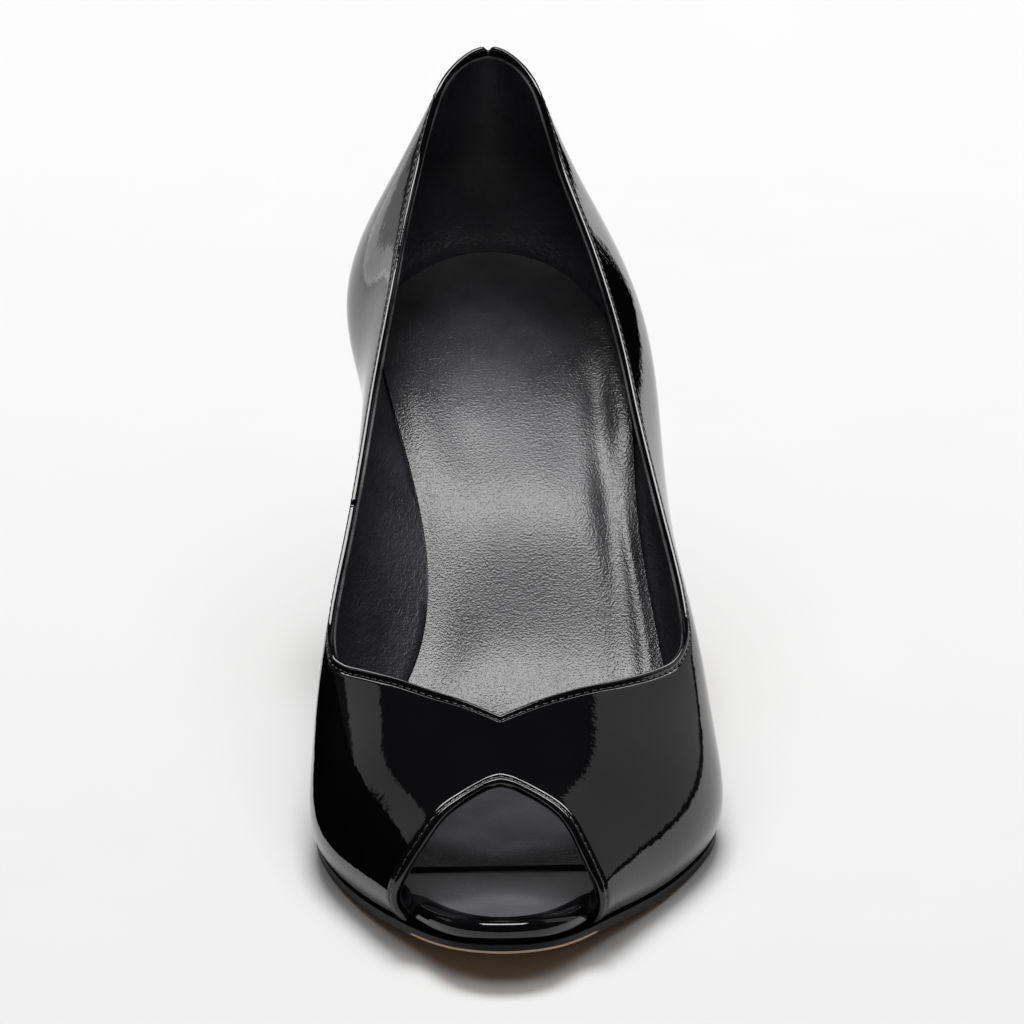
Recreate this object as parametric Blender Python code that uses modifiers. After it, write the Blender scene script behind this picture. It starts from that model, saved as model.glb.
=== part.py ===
"""Open-toed court shoe for the left foot, standing on its sole.

The toe points to -Y, the inner (arch) side is -X and the outer side is +X. The lasted upper, the sole,
the insole and the sock all follow one last: five long lines that run round the foot, joined by ribs.
"""
import bpy
import numpy as np

MM = 0.001

# Driving sizes, millimetres
GAP = 0.3                # between pieces that are glued or nailed together
WALL = 1.8               # upper leather with its lining
FOLD_EXTRA = 0.6         # the edge is folded to the inside, so it is thicker there
FOLD_WIDTH = 3.0
FOLD_STEP = 0.5          # width of the step down from the fold to the wall
THROAT_ALONG = 52.0      # point of the V, from the toe tip
SOLE_THICK = 1.8
SOLE_END = 172.0         # the sole stops at the breast of the heel
SOCK_THICK = 1.4
SOCK_FRONT = 33.0
SOCK_SIDE = 0.7          # share of the sock's thickness below its rounded top edge
SOCK_EASE = 0.5
BOARD_EASE = 0.6         # rounding of the insole's top edge
HEEL_FRONT = SOLE_END + GAP
TOP_PIECE_THICK = 5.5
TOP_PIECE_EASE = 0.7
WRAP_HEIGHT = 4.8        # leather roll over the front rim of the insole
WRAP_DEPTH = 3.2
MIDDLE_ALONG = 112.85    # middle of the finished shoe, which stands over the origin
MIDDLE_ACROSS = 4.4

# Section of the sole's edge from the bottom up: inset from the outline, depth below the top
SOLE_EDGE = ((0.6, SOLE_THICK), (0.0, SOLE_THICK - 0.5), (0.0, 0.4), (0.3, 0.0))

# Mesh fineness
FRONT_COLUMNS = 13
SIDE_COLUMNS = 42
INNER_ROWS = 6
PLATE_STATIONS = 44
WRAP_STATIONS = 22
WRAP_ROUND_STEPS = 9
HEEL_STATIONS = 16
HEEL_RINGS = 12
RIB_SAMPLES = 161
OPENING_SAMPLES = 60
EDGE_SAMPLES = 240
SHARP_ANGLE = 35.0       # degrees between faces from which an edge is drawn sharp

# The last, a row for each section from toe tip to heel. along: distance from the toe tip. swing: sideways
# place of the centre line. inner, outer: half widths of the feather line, where upper meets sole.
# rise: height of the feather line. The wall and shoulder control points stand out from the feather line by
# wall_in, wall_out, shoulder_in and shoulder_out (inner and outer side) at heights wall_up and shoulder_up.
# crest_at, crest_up: the rib's end on the centre line. flat: level stretch to each side of the crest.
LAST_COLUMNS = ("along", "swing", "inner", "outer", "rise", "wall_in", "wall_out", "wall_up",
                "shoulder_in", "shoulder_out", "shoulder_up", "crest_at", "crest_up", "flat")
LAST_ROWS = (
    (0.0,   0.0,  0.0,  0.0,  9.1, 5.0, 5.0, 5.2, -6.0, -6.0, 17.6,  24.0, 19.7,  6.0),
    (3.0,   0.0,  8.6,  8.8,  8.5, 5.0, 5.0, 5.2, -6.2, -6.2, 17.6,  24.0, 20.3,  7.0),
    (10.0,  0.0, 14.6, 15.0,  7.1, 5.8, 5.8, 5.4, -6.4, -6.4, 18.9,  24.0, 21.7,  8.0),
    (20.0,  0.0, 20.5, 21.5,  5.6, 5.9, 5.8, 5.4, -5.9, -5.9, 21.0,  24.0, 23.2,  9.0),
    (32.0,  0.0, 26.6, 29.7,  4.2, 5.4, 4.6, 5.4, -5.8, -6.2, 24.0,  32.0, 26.5, 11.0),
    (50.0,  0.5, 33.6, 38.6,  2.7, 6.1, 5.8, 5.4, -2.1, -4.1, 28.0,  50.0, 32.7, 14.0),
    (71.0,  1.0, 37.2, 44.2, 2.06, 2.5, 3.2, 5.4,  3.9,  2.0, 28.0,  71.0, 40.5, 16.0),
    (90.0,  2.0, 33.6, 41.2,  2.9, 1.4, 0.4, 5.4, 12.4,  8.7, 29.0,  90.0, 48.0, 22.0),
    (115.0, 3.0, 21.0, 36.0, 15.7, 2.5, 1.0, 7.4, 23.5,  7.5, 25.8, 115.0, 53.8, 23.0),
    (145.0, 3.5, 19.9, 31.5, 37.5, 6.1, 5.0, 7.3, 18.1,  4.0, 22.5, 145.0, 50.5, 16.0),
    (175.0, 4.0, 26.8, 30.0, 55.0, 6.6, 7.5, 7.0,  1.4, -5.5, 28.0, 175.0, 47.0, 13.0),
    (200.0, 4.2, 26.9, 23.6, 64.5, 9.6, 9.5, 8.0, -1.2, -4.6, 29.0, 197.0, 54.0,  6.0),
    (214.0, 3.6, 17.5, 15.3, 68.6, 10.0, 9.0, 8.0, 2.2, -1.0, 28.0, 204.0, 61.0,  7.4),
    (221.0, 2.7,  0.0,  0.0, 70.5, 6.0, 6.0, 8.0,  6.0,  6.0, 28.0, 207.0, 63.0, 12.0),
)
LAST = {name: np.array([row[i] for row in LAST_ROWS]) for i, name in enumerate(LAST_COLUMNS)}
HEEL_END = LAST_ROWS[-1][0]

# Toe opening: share of the way up the rib, then how far back from the toe tip the edge lies on each side
TOE_OPENING = (
    # share, inner, outer
    (0.00, 18.5, 17.6),
    (0.15, 16.4, 15.2),
    (0.30, 16.3, 15.0),
    (0.45, 17.3, 16.2),
    (0.60, 19.4, 18.7),
    (0.75, 23.0, 22.8),
    (0.90, 28.2, 28.2),
    (1.00, 31.6, 31.6),
)

# Throat and collar: wall length up from the feather line at each place from the V to the back
COLLAR = (
    # along, inner, outer
    (56.0,  54.8, 58.0),
    (61.0,  49.1, 52.3),
    (68.0,  43.6, 44.8),
    (75.5,  38.4, 39.0),
    (82.0,  34.6, 35.1),
    (88.0,  32.4, 33.1),
    (94.0,  33.0, 33.1),
    (104.0, 34.8, 34.0),
    (115.0, 35.8, 33.8),
    (130.0, 35.3, 32.8),
    (150.0, 33.5, 32.4),
    (175.0, 36.8, 37.4),
    (200.0, 45.4, 45.6),
    (214.0, 52.2, 51.6),
    (221.0, 53.2, 53.2),
)

# How far each plate's outline stands inside (+) or outside (-) the feather line, inner and outer side
SOLE_INSET = (
    # along, inner, outer
    (0.0, -0.5, -0.5),
    (80.0, -0.5, -0.5),
    (100.0, 0.0, -0.3),
    (125.0, 0.8, 0.6),
    (150.0, 0.9, 0.8),
    (SOLE_END, 0.8, 0.8),
)
INSOLE_INSET = (
    (0.0, 4.5, 4.5),
    (11.0, 4.7, 4.7),
    (19.0, 6.3, 6.3),
    (29.0, 2.9, 2.9),
    (40.0, 2.3, 2.3),
    (HEEL_END, 2.4, 2.4),
)
SOCK_INSET = (
    (SOCK_FRONT, 3.0, 3.0),
    (80.0, 2.8, 2.8),
    (118.0, 2.6, 2.5),
    (175.0, 2.6, 2.7),
    (HEEL_END, 3.0, 3.0),
)
WRAP_INSET = (
    (0.0, 0.9, 0.9),
    (11.0, 0.9, 0.9),
    (19.0, 2.6, 2.6),
)

# Insole thickness along its length, and the section of the wrap over its rim as shares of depth and height
INSOLE_THICK = ((0.0, 4.5), (20.0, 4.6), (33.0, 5.1), (60.0, 4.3), (115.0, 3.4), (HEEL_END, 3.0))
WRAP_BACK = 0.03
WRAP_ROUND_FROM = 0.35
WRAP_END_TAPER = 0.72

# Heel block: share of the height, front and back from the toe tip, half width
HEEL_COLUMNS = ("share", "front", "back", "half")
HEEL_ROWS = (
    (0.00, 198.5, 215.5,  8.0),
    (0.20, 198.0, 215.5,  8.6),
    (0.40, 196.0, 216.0, 10.3),
    (0.60, 192.0, 217.2, 13.4),
    (0.78, 186.0, 219.2, 18.0),
    (0.90, 180.0, 220.6, 23.0),
    (1.00, HEEL_FRONT, HEEL_END, 28.4),
)
HEEL = {name: np.array([row[i] for row in HEEL_ROWS]) for i, name in enumerate(HEEL_COLUMNS)}
HEEL_ROUND = 2.6         # power of the round of the heel's outline below the seat

# Colours as linear RGB, with roughness
PATENT = ((0.012, 0.012, 0.014), 0.08)
SOLE_LEATHER = ((0.50, 0.33, 0.20), 0.55)
BOARD = ((0.030, 0.029, 0.032), 0.60)
SOCK_LEATHER = ((0.035, 0.034, 0.038), 0.38)
RUBBER = ((0.016, 0.016, 0.016), 0.60)


def closed_spline(knots, points, period):
    """Cubic spline through points at the knots, closed after the period, as a function of u."""
    count = len(knots)
    span = np.append(np.diff(knots), period - knots[-1])
    matrix = np.zeros((count, count))
    right_side = np.zeros(points.shape)
    for i in range(count):
        following = (i + 1) % count
        before, after = span[i - 1], span[i]
        matrix[i, i - 1] += before
        matrix[i, i] += 2 * (before + after)
        matrix[i, following] += after
        right_side[i] = 6 * ((points[following] - points[i]) / after - (points[i] - points[i - 1]) / before)
    bend = np.linalg.solve(matrix, right_side)

    def at(u):
        u = np.asarray(u, float) % period
        i = np.searchsorted(knots, u, side="right") - 1
        j = (i + 1) % count
        width = span[i][..., None]
        done = (u - knots[i])[..., None]
        left = width - done
        curved = (bend[i] * left ** 3 + bend[j] * done ** 3) / (6 * width)
        straight = (points[i] / width - bend[i] * width / 6) * left
        return curved + straight + (points[j] / width - bend[j] * width / 6) * done

    return at


def long_lines():
    """The five lines round the last. u runs from the toe on the inner side to the heel (1) and back (2)."""
    lines = {}
    for sign, half, wall, shoulder in ((-1, "inner", "wall_in", "shoulder_in"),
                                       (1, "outer", "wall_out", "shoulder_out")):
        feather = np.stack([LAST["swing"] + sign * LAST[half], LAST["along"], LAST["rise"]], 1)
        crest = np.stack([LAST["swing"], LAST["crest_at"], LAST["rise"] + LAST["crest_up"]], 1)
        outwards = (feather - crest) * (1, 1, 0)
        outwards /= np.linalg.norm(outwards, axis=1)[:, None]

        def beside(line, distance, up):
            return line + outwards * distance[:, None] + np.outer(up, (0, 0, 1))

        level = np.zeros(len(LAST_ROWS))
        lines[sign] = (feather, beside(feather, LAST[wall], LAST["wall_up"]),
                       beside(feather, LAST[shoulder], LAST["shoulder_up"]),
                       beside(crest, LAST["flat"], level), crest)
    half_width = (LAST["inner"] + LAST["outer"]) / 2
    steps = np.stack([np.diff(LAST["along"]), np.diff(half_width), np.diff(LAST["rise"])])
    share = np.append(0, np.cumsum(np.linalg.norm(steps, axis=0)))
    share /= share[-1]
    knots = np.append(share, 2 - share[-2:0:-1])
    return [closed_spline(knots, np.concatenate([a, b[-2:0:-1]]), 2.0) for a, b in zip(lines[-1], lines[1])]


LINES = long_lines()


def last_point(u, v):
    """Point of the last: v goes up the rib at u from the feather line (0) to the crest (1)."""
    feather, wall, shoulder, flank, crest = (line(u) for line in LINES)
    middle = (wall + 2 * shoulder + flank) / 4
    v = np.asarray(v, float)[..., None]

    def bezier(a, b, c, d, t):
        return a * (1 - t) ** 3 + 3 * b * t * (1 - t) ** 2 + 3 * c * t ** 2 * (1 - t) + d * t ** 3

    lower = bezier(feather, wall, (wall + shoulder) / 2, middle, 2 * v)
    upper = bezier(middle, (shoulder + flank) / 2, flank, crest, 2 * v - 1)
    return np.where(v < 0.5, lower, upper)


FINE_U = np.linspace(0, 1, 2001)
FINE_FEATHER = LINES[0](FINE_U)


def station(along):
    """u on the inner side at this distance from the toe tip. The outer side has 2 - u."""
    return np.interp(along, FINE_FEATHER[:, 1], FINE_U)


def feather_height(along):
    """Height of the feather line, carried on straight past the toe tip and the heel."""
    y, z = FINE_FEATHER[:, 1], FINE_FEATHER[:, 2]
    along = np.asarray(along, float)
    toe_slope = (LAST["rise"][1] - LAST["rise"][0]) / LAST["along"][1]
    return np.interp(along, y, z) + np.minimum(along, 0) * toe_slope


def monotone(x, y, places):
    """Smooth curve through (x, y) that adds no hump between the rows."""
    x, y = np.asarray(x, float), np.asarray(y, float)
    step = np.diff(x)
    slope = np.diff(y) / step
    tangent = np.concatenate([[slope[0]], np.zeros(len(x) - 2), [slope[-1]]])
    for i in range(1, len(x) - 1):
        if slope[i - 1] * slope[i] > 0:
            first, second = 2 * step[i] + step[i - 1], step[i] + 2 * step[i - 1]
            tangent[i] = (first + second) / (first / slope[i - 1] + second / slope[i])
    k = np.clip(np.searchsorted(x, places, side="right") - 1, 0, len(step) - 1)
    t = (places - x[k]) / step[k]
    ends = y[k] * (1 + 2 * t) * (1 - t) ** 2 + y[k + 1] * t ** 2 * (3 - 2 * t)
    return ends + step[k] * t * (1 - t) * (tangent[k] * (1 - t) - tangent[k + 1] * t)


def rib_length(u):
    """Heights v up the rib at u, and the wall length reached at each."""
    v = np.linspace(0, 1, RIB_SAMPLES)
    points = last_point(np.full_like(v, u), v)
    return v, np.append(0, np.cumsum(np.linalg.norm(np.diff(points, axis=0), axis=1)))


def path_share(uv):
    """Share of the way along a line of (u, v) points, measured on the last."""
    points = last_point(uv[:, 0], uv[:, 1])
    length = np.append(0, np.cumsum(np.linalg.norm(np.diff(points, axis=0), axis=1)))
    return length / length[-1]


def lower_edge(side):
    """Edge from the point of the toe opening to the sole and back along the feather line, as (u, v)."""
    rows = np.array(TOE_OPENING)
    shares = np.linspace(1, 0, OPENING_SAMPLES)
    opening = []
    for share, along in zip(shares, monotone(rows[:, 0], rows[:, 1 + side], shares)):
        u = station(along)
        v, length = rib_length(u if side == 0 else 2 - u)
        opening.append((u, np.interp(share * length[-1], length, v)))
    feather = [(u, 0.0) for u in np.linspace(opening[-1][0], 1, EDGE_SAMPLES)[1:]]
    return np.array(opening + feather), len(opening) - 1


def upper_edge(side):
    """Edge from the point of the V along the throat and the collar to the back, as (u, v)."""
    def full(along):
        u = station(along)
        return rib_length(u if side == 0 else 2 - u)[1][-1]

    rows = np.array(COLLAR)
    along = np.append(THROAT_ALONG, rows[:, 0])
    girth = np.append(full(THROAT_ALONG), rows[:, 1 + side])
    places = np.linspace(THROAT_ALONG, HEEL_END, EDGE_SAMPLES)
    edge = []
    for u, reach in zip(station(places), monotone(along, girth, places)):
        v, length = rib_length(u if side == 0 else 2 - u)
        edge.append((u, np.interp(reach, length, v)))
    return np.array(edge)


def upper_columns(side):
    """Columns of wall points from the lower to the upper edge, front to back, with their fold weights."""
    lower, corner = lower_edge(side)
    upper = upper_edge(side)
    lower_share, upper_share = path_share(lower), path_share(upper)
    corner_share = lower_share[corner]
    shares = np.append(np.linspace(0, corner_share, FRONT_COLUMNS),
                       np.linspace(corner_share, 1, SIDE_COLUMNS + 1)[1:])
    columns = []
    for number, share in enumerate(shares):
        start = [np.interp(share, lower_share, lower[:, k]) for k in (0, 1)]
        end = [np.interp(share, upper_share, upper[:, k]) for k in (0, 1)]
        blend = np.linspace(0, 1, RIB_SAMPLES)
        u = start[0] + (end[0] - start[0]) * blend
        v = start[1] + (end[1] - start[1]) * blend
        u = u if side == 0 else 2 - u
        points = last_point(u, v)
        length = np.append(0, np.cumsum(np.linalg.norm(np.diff(points, axis=0), axis=1)))
        inside = np.linspace(FOLD_WIDTH, length[-1] - FOLD_WIDTH, INNER_ROWS + 1)
        band = FOLD_WIDTH - FOLD_STEP
        reach = np.concatenate([[0, band], inside, [length[-1] - band, length[-1]]])
        rows = np.stack([np.interp(reach, length, points[:, k]) for k in range(3)], 1)
        folded = np.zeros(len(rows))
        folded[-2:] = 1
        folded[:2] = float(number < FRONT_COLUMNS)
        columns.append((rows, folded))
    return columns


def new_object(name, points, faces, material):
    """Mesh object from millimetre points (across, along, up), shaded smooth except at sharp edges."""
    mesh = bpy.data.meshes.new(name)
    metres = (np.asarray(points) - (MIDDLE_ACROSS, MIDDLE_ALONG, 0)) * MM
    mesh.from_pydata(metres.tolist(), [], faces)
    mesh.validate()
    mesh.shade_smooth()
    mesh.set_sharp_from_angle(angle=np.radians(SHARP_ANGLE))
    piece = bpy.data.objects.new(name, mesh)
    SHOE.objects.link(piece)
    colour, roughness = material
    finish = bpy.data.materials.new(name)
    finish.use_nodes = True
    shader = finish.node_tree.nodes["Principled BSDF"]
    shader.inputs["Base Color"].default_value = (*colour, 1)
    shader.inputs["Roughness"].default_value = roughness
    shader.inputs["Metallic"].default_value = 0
    mesh.materials.append(finish)
    return piece


def make_upper():
    """Lasted skin as one open surface, made a wall by Solidify, with a thicker folded edge."""
    inner, outer = upper_columns(0), upper_columns(1)
    columns = inner + outer[-2:0:-1]
    rows = len(columns[0][0])
    points = np.concatenate([column for column, _ in columns])
    faces = []
    for i in range(len(columns)):
        a, b = i * rows, (i + 1) % len(columns) * rows
        faces += [(a + j, a + j + 1, b + j + 1, b + j) for j in range(rows - 1)]
    piece = new_object("upper", points, faces, PATENT)
    group = piece.vertex_groups.new(name="folded_edge")
    for number, weight in enumerate(np.concatenate([folded for _, folded in columns])):
        group.add([number], float(weight), "REPLACE")
    wall = piece.modifiers.new("wall", "SOLIDIFY")
    wall.thickness = (WALL + FOLD_EXTRA) * MM
    wall.offset = -1
    wall.vertex_group = "folded_edge"
    wall.thickness_vertex_group = WALL / (WALL + FOLD_EXTRA)


def plan_line(side, u, inset):
    """Feather line on one side at stations u, moved inwards in plan by inset, as (across, along)."""
    place = u if side == 0 else 2 - u
    nudge = 1e-4
    tangent = (LINES[0](place + nudge) - LINES[0](place - nudge))[:, :2]
    inwards = np.stack([tangent[:, 1], -tangent[:, 0]], 1) / np.linalg.norm(tangent, axis=1)[:, None]
    return LINES[0](place)[:, :2] + inwards * inset[:, None]


def from_table(table, side, along):
    rows = np.array(table)
    return monotone(rows[:, 0], rows[:, 1 + side], np.clip(along, rows[0, 0], rows[-1, 0]))


def ring(table, u, extra, height):
    """Inner and outer edge points of a plate, with extra inset, at a height function of (along)."""
    sides = []
    for side in (0, 1):
        inset = from_table(table, side, LINES[0](u)[:, 1]) + extra
        plan = plan_line(side, u, inset)
        sides.append(np.column_stack([plan, height(plan[:, 1])]))
    return sides


def stack(name, rings, material):
    """Closed solid from rings, lowest first. A ring is its inner and its outer edge, front to back."""
    points, loops, ends = [], [], []
    for inner, outer in rings:
        closed_front = np.linalg.norm(inner[0] - outer[0]) < GAP
        closed_back = np.linalg.norm(inner[-1] - outer[-1]) < GAP
        first = len(points)
        points.extend(inner)
        left = list(range(first, len(points)))
        kept = outer[int(closed_front):len(outer) - int(closed_back)]
        start = len(points)
        points.extend(kept)
        right = list(range(start, len(points)))
        loops.append(left + right[::-1])
        right = left[:int(closed_front)] + right + (left[-1:] if closed_back else [])
        ends.append((left, right))
    faces = []
    for low, high in zip(loops[:-1], loops[1:]):
        for i in range(len(low)):
            j = (i + 1) % len(low)
            faces.append((low[i], high[i], high[j], low[j]))
    for (left, right), upwards in ((ends[0], False), (ends[-1], True)):
        for i in range(len(left) - 1):
            corners = [left[i], right[i], right[i + 1], left[i + 1]]
            corners = list(dict.fromkeys(corners))
            faces.append(tuple(corners if upwards else corners[::-1]))
    return new_object(name, points, faces, material)


def stations(first, last, count):
    """Stations u between two distances from the toe, closer together towards both ends."""
    even = np.linspace(0, 1, count)
    eased = (1 - np.cos(np.pi * even)) / 2
    return station(first) + (station(last) - station(first)) * (even + eased) / 2


def make_outsole():
    """Leather sole with an eased edge; the tread under the ball is flat on the floor."""
    u = stations(0, SOLE_END, PLATE_STATIONS)

    def below(depth):
        return lambda along: np.maximum(feather_height(along) - GAP - depth, SOLE_THICK - depth)

    stack("outsole", [ring(SOLE_INSET, u, extra, below(depth)) for extra, depth in SOLE_EDGE], SOLE_LEATHER)


def insole_top(along):
    rows = np.array(INSOLE_THICK)
    return feather_height(along) + GAP + np.interp(along, rows[:, 0], rows[:, 1])


def make_insole():
    """Board that the upper is lasted on, thick under the toe opening."""
    u = stations(0, HEEL_END, PLATE_STATIONS)
    base = ring(INSOLE_INSET, u, 0.0, lambda along: feather_height(along) + GAP)
    side = ring(INSOLE_INSET, u, 0.0, lambda along: insole_top(along) - BOARD_EASE)
    top = ring(INSOLE_INSET, u, BOARD_EASE, insole_top)
    stack("insole", [base, side, top], BOARD)


def make_sock():
    """Leather sock on the insole, cut in along the arch, with a straight front edge."""
    u = stations(SOCK_FRONT, HEEL_END, PLATE_STATIONS)
    base = ring(SOCK_INSET, u, 0.0, lambda along: insole_top(along) + GAP)
    side = ring(SOCK_INSET, u, 0.0, lambda along: insole_top(along) + GAP + SOCK_SIDE * SOCK_THICK)
    top = ring(SOCK_INSET, u, SOCK_EASE, lambda along: insole_top(along) + GAP + SOCK_THICK)
    stack("sock", [base, side, top], SOCK_LEATHER)


def make_toe_wrap():
    """Leather roll over the front rim of the insole, from one side of the toe opening to the other."""
    end = WRAP_INSET[-1][0]
    half = stations(0, end, WRAP_STATIONS // 2 + 1)
    path = []
    for side, u in ((0, half[::-1]), (1, half[1:])):
        inset = from_table(WRAP_INSET, side, LINES[0](u)[:, 1])
        line = plan_line(side, u, inset)
        inner_line = plan_line(side, u, inset + WRAP_DEPTH)
        path += list(zip(line, inner_line))
    angles = np.linspace(-np.pi / 2, np.pi / 2, WRAP_ROUND_STEPS)
    depths = WRAP_ROUND_FROM + (1 - WRAP_ROUND_FROM) * np.cos(angles)
    heights = (1 + np.sin(angles)) / 2
    depths = np.concatenate([[WRAP_BACK], depths, [WRAP_BACK]])
    heights = np.concatenate([[0], heights, [1]])
    points, count = [], len(depths)
    for number, (front, back) in enumerate(path):
        taper = WRAP_END_TAPER if number in (0, len(path) - 1) else 1.0
        floor = feather_height(front[1]) + GAP
        for depth, height in zip(depths * taper, heights * taper):
            points.append((*(back + (front - back) * depth), floor + WRAP_HEIGHT * height))
    faces = []
    for i in range(len(path) - 1):
        for j in range(count):
            k = (j + 1) % count
            a, b = i * count, (i + 1) * count
            faces.append((a + j, b + j, b + k, a + k))
    faces.append(tuple(range(count)))
    faces.append(tuple(range((len(path) - 1) * count, len(path) * count))[::-1])
    new_object("toe_wrap", points, faces, PATENT)


def heel_ring(share, floor, shrink):
    """Inner and outer edge of the heel at a share of its height, from the tip's round to the seat."""
    u = stations(HEEL_FRONT, HEEL_END, HEEL_STATIONS)
    seat = [LINES[0](u), LINES[0](2 - u)]
    front, back, half = (monotone(HEEL["share"], HEEL[k], np.array([share]))[0]
                         for k in ("front", "back", "half"))
    t = (seat[0][:, 1] - seat[0][0, 1]) / (HEEL_END - seat[0][0, 1])
    t = np.clip(t, 0, 1)
    rounded = (1 - t ** HEEL_ROUND) ** (1 / HEEL_ROUND)
    middle = (seat[0][:, 0] + seat[1][:, 0]) / 2
    height = floor + (seat[0][:, 2] - GAP - floor) * share
    sides = []
    for sign, line in ((-1, seat[0]), (1, seat[1])):
        own = sign * (line[:, 0] - middle) / HEEL["half"][-1]
        width = rounded + (own - rounded) * share ** 2
        across = middle + sign * width * (half - shrink)
        along = front + shrink + (back - front - 2 * shrink) * t
        sides.append(np.column_stack([across, along, height]))
    return sides


def make_heel():
    """Covered heel block, its top cut to the seat of the upper."""
    floor = TOP_PIECE_THICK + GAP
    shares = np.linspace(0, 1, HEEL_RINGS)
    stack("heel", [heel_ring(share, floor, 0.0) for share in shares], PATENT)


def make_top_piece():
    """Wearing piece under the heel, flat on the floor, with an eased lower edge."""
    levels = ((0.0, TOP_PIECE_EASE), (TOP_PIECE_EASE, 0.0), (TOP_PIECE_THICK, 0.0))
    stack("top_piece", [heel_ring(0.0, level, shrink) for level, shrink in levels], RUBBER)


def start_scene():
    for item in list(bpy.data.objects):
        bpy.data.objects.remove(item, do_unlink=True)
    shoe = bpy.data.collections.new("heeled_shoe")
    bpy.context.scene.collection.children.link(shoe)
    return shoe


SHOE = start_scene()
make_outsole()
make_heel()
make_top_piece()
make_insole()
make_toe_wrap()
make_sock()
make_upper()
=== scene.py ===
"""Looks of an open-toed court shoe in black patent leather, for the left foot, made over its last."""

import bpy
import numpy as np
from mathutils import Matrix, Vector


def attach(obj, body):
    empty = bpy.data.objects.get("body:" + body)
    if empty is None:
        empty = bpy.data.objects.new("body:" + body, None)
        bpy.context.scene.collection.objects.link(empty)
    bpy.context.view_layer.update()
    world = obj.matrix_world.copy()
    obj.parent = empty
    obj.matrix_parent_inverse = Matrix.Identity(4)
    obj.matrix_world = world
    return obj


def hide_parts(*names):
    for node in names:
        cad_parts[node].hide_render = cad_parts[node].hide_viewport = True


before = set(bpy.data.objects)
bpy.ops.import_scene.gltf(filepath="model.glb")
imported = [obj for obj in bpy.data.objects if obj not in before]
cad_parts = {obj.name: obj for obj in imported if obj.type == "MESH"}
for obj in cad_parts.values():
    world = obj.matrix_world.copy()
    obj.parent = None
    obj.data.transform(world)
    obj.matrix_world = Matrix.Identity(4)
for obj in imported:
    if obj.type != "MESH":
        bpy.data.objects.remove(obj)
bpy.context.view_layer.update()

# Insole board
# Fibre board with a thin dark leather cover, cut to the bottom line of the last and moulded to its arch.
# The shoe is built on it: the upper is pulled over the last and glued to its underside.
MM = 0.001
GAP = 0.3                          # glue line between pieces, millimetres
ORIGIN = (4.4, 112.85, 0.0)        # the part's origin on the last: across, along from the toe tip, up
BOARD_EASE = 0.5
BOARD_ENDS = (7.0, 208.0)          # where the round of the toe ends and that of the heel begins
BOARD_THICK = ((0.0, 4.5), (20.0, 4.6), (33.0, 5.1), (60.0, 4.3), (115.0, 3.4), (221.0, 3.0))

# The last, a row for each section from toe tip to heel. along: distance from the toe tip. swing: sideways
# place of the centre line. inner, outer: half widths of the feather line, where upper meets sole.
# rise: height of the feather line. The wall and shoulder control points stand out from the feather line by
# wall_in, wall_out, shoulder_in and shoulder_out (inner and outer side) at heights wall_up and shoulder_up.
# crest_at, crest_up: the rib's end on the centre line. flat: level stretch to each side of the crest.
LAST_COLUMNS = ("along", "swing", "inner", "outer", "rise", "wall_in", "wall_out", "wall_up",
                "shoulder_in", "shoulder_out", "shoulder_up", "crest_at", "crest_up", "flat")
LAST_ROWS = (
    (0.0,   0.0,  0.0,  0.0,  9.1, 5.0, 5.0, 5.2, -6.0, -6.0, 17.6,  24.0, 19.7,  6.0),
    (3.0,   0.0,  8.6,  8.8,  8.5, 5.0, 5.0, 5.2, -6.2, -6.2, 17.6,  24.0, 20.3,  7.0),
    (10.0,  0.0, 14.6, 15.0,  7.1, 5.8, 5.8, 5.4, -6.4, -6.4, 18.9,  24.0, 21.7,  8.0),
    (20.0,  0.0, 20.5, 21.5,  5.6, 5.9, 5.8, 5.4, -5.9, -5.9, 21.0,  24.0, 23.2,  9.0),
    (32.0,  0.0, 26.6, 29.7,  4.2, 5.4, 4.6, 5.4, -5.8, -6.2, 24.0,  32.0, 26.5, 11.0),
    (50.0,  0.5, 33.6, 38.6,  2.7, 6.1, 5.8, 5.4, -2.1, -4.1, 28.0,  50.0, 32.7, 14.0),
    (71.0,  1.0, 37.2, 44.2, 2.06, 2.5, 3.2, 5.4,  3.9,  2.0, 28.0,  71.0, 40.5, 16.0),
    (90.0,  2.0, 33.6, 41.2,  2.9, 1.4, 0.4, 5.4, 12.4,  8.7, 29.0,  90.0, 48.0, 22.0),
    (115.0, 3.0, 21.0, 36.0, 15.7, 2.5, 1.0, 7.4, 23.5,  7.5, 25.8, 115.0, 53.8, 23.0),
    (145.0, 3.5, 19.9, 31.5, 37.5, 6.1, 5.0, 7.3, 18.1,  4.0, 22.5, 145.0, 50.5, 16.0),
    (175.0, 4.0, 26.8, 30.0, 55.0, 6.6, 7.5, 7.0,  1.4, -5.5, 28.0, 175.0, 47.0, 13.0),
    (200.0, 4.2, 26.9, 23.6, 64.5, 9.6, 9.5, 8.0, -1.2, -4.6, 29.0, 197.0, 54.0,  6.0),
    (214.0, 3.3, 16.9, 15.9, 68.6, 10.0, 9.0, 8.0, 2.2, -1.0, 28.0, 204.0, 61.0,  8.1),
    (221.0, 2.9,  0.0,  0.0, 70.5, 6.0, 6.0, 8.0,  6.0,  6.0, 28.0, 207.0, 63.0, 12.0),
)
LAST = dict(zip(LAST_COLUMNS, np.array(LAST_ROWS).T))
HEEL_END = LAST_ROWS[-1][0]


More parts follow.
